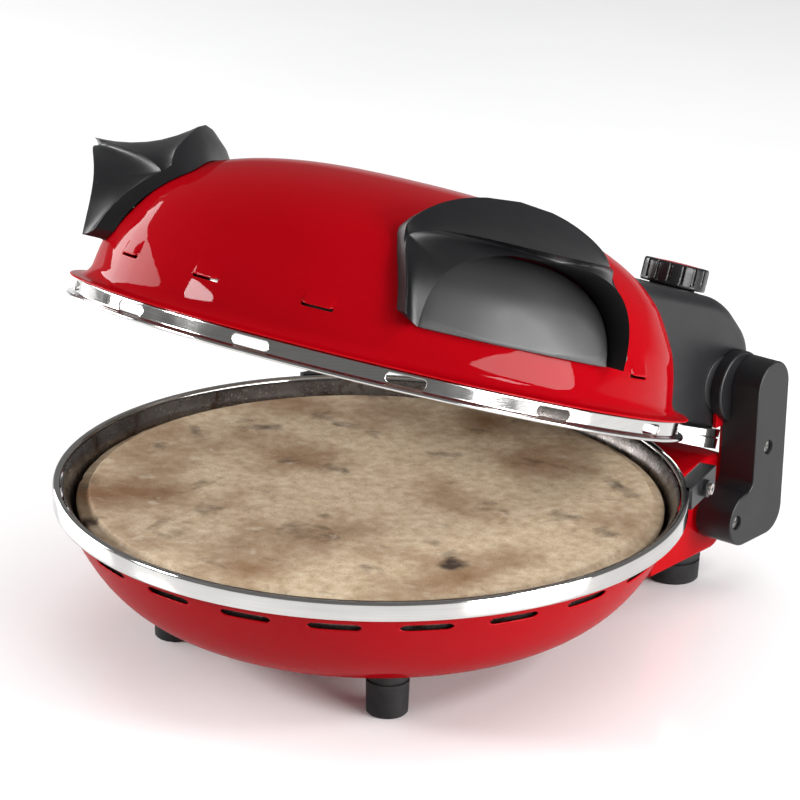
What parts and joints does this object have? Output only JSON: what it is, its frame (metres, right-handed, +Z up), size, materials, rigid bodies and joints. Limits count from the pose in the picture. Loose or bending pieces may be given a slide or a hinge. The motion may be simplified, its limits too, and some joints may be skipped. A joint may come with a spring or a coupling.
{
  "type": "countertop pizza oven",
  "caption": "Round electric pizza oven for a worktop: a steel bowl with a baking stone, and a hinged dome lid with scooped side handles and a rear thermostat knob.",
  "frame": {"origin": "on the table at the middle of the part's footprint, under the round base", "axes": "+Z up, -Y towards the user (front), +Y the hinge and rear, +X the user's right"},
  "size_m": [0.356, 0.4049, 0.285],
  "materials": {
    "red_paint": "gloss",
    "knob_red": "satin",
    "polished_steel": "polished",
    "dish_steel": "satin",
    "fastener_steel": "satin",
    "baking_stone": "matte",
    "white_ceramic": "matte",
    "element_tube": "matte",
    "reflector": "satin",
    "copper": "satin",
    "wire": "matte",
    "black_plastic": "satin",
    "grey_plastic": "satin",
    "knob_plastic": "satin",
    "rubber": "matte"
  },
  "bodies": {
    "base": {"base_shell": "red_paint", "rim_band": "polished_steel", "base_dish": "dish_steel", "stone": "baking_stone", "stone_supports": "dish_steel", "lower_element": "element_tube", "lower_element_clips": "dish_steel", "element_bushes": "white_ceramic", "terminal_block": "white_ceramic", "terminal_screws": "fastener_steel", "base_wires": "wire", "cable_gland": "rubber", "front_feet": "rubber", "rear_feet": "rubber", "foot_screws": "fastener_steel", "arm_cover_left": "black_plastic", "arm_cover_right": "black_plastic", "arm_screws": "fastener_steel", "hinge_bracket_left": "red_paint", "hinge_bracket_right": "red_paint", "bracket_screws": "fastener_steel", "hinge_pins": "fastener_steel", "pin_circlips": "fastener_steel", "friction_washers": "fastener_steel", "rim_clip_left": "black_plastic", "rim_clip_right": "black_plastic", "rim_clip_screws": "fastener_steel"},
    "lid": {"lid_dome": "red_paint", "lid_collar": "polished_steel", "lid_reflector": "reflector", "upper_element": "element_tube", "upper_element_clips": "dish_steel", "handle_left": "black_plastic", "handle_right": "black_plastic", "handle_pad_left": "grey_plastic", "handle_pad_right": "grey_plastic", "handle_screws": "fastener_steel", "rear_housing": "black_plastic", "hinge_link_left": "polished_steel", "hinge_link_right": "polished_steel", "thermostat_body": "white_ceramic", "thermostat_screws": "fastener_steel", "thermostat_bulb": "copper", "lid_wires": "wire"},
    "knob": {"thermostat_shaft": "fastener_steel", "knob": "knob_plastic", "knob_cap": "knob_red"}
  },
  "joints": [
    {"name": "lid_hinge", "type": "hinge", "parent": "base", "child": "lid", "pos_m": [0, 0.169, 0.1237], "axis": [-1, 0, 0], "range_deg": [-19.6, 70.4]},
    {"name": "knob_turn", "type": "hinge", "parent": "lid", "child": "knob", "pos_m": [0.0623, 0.17632, 0.17555], "axis": [0, -0.3355, -0.9421], "range_deg": [0, 270]}
  ]
}
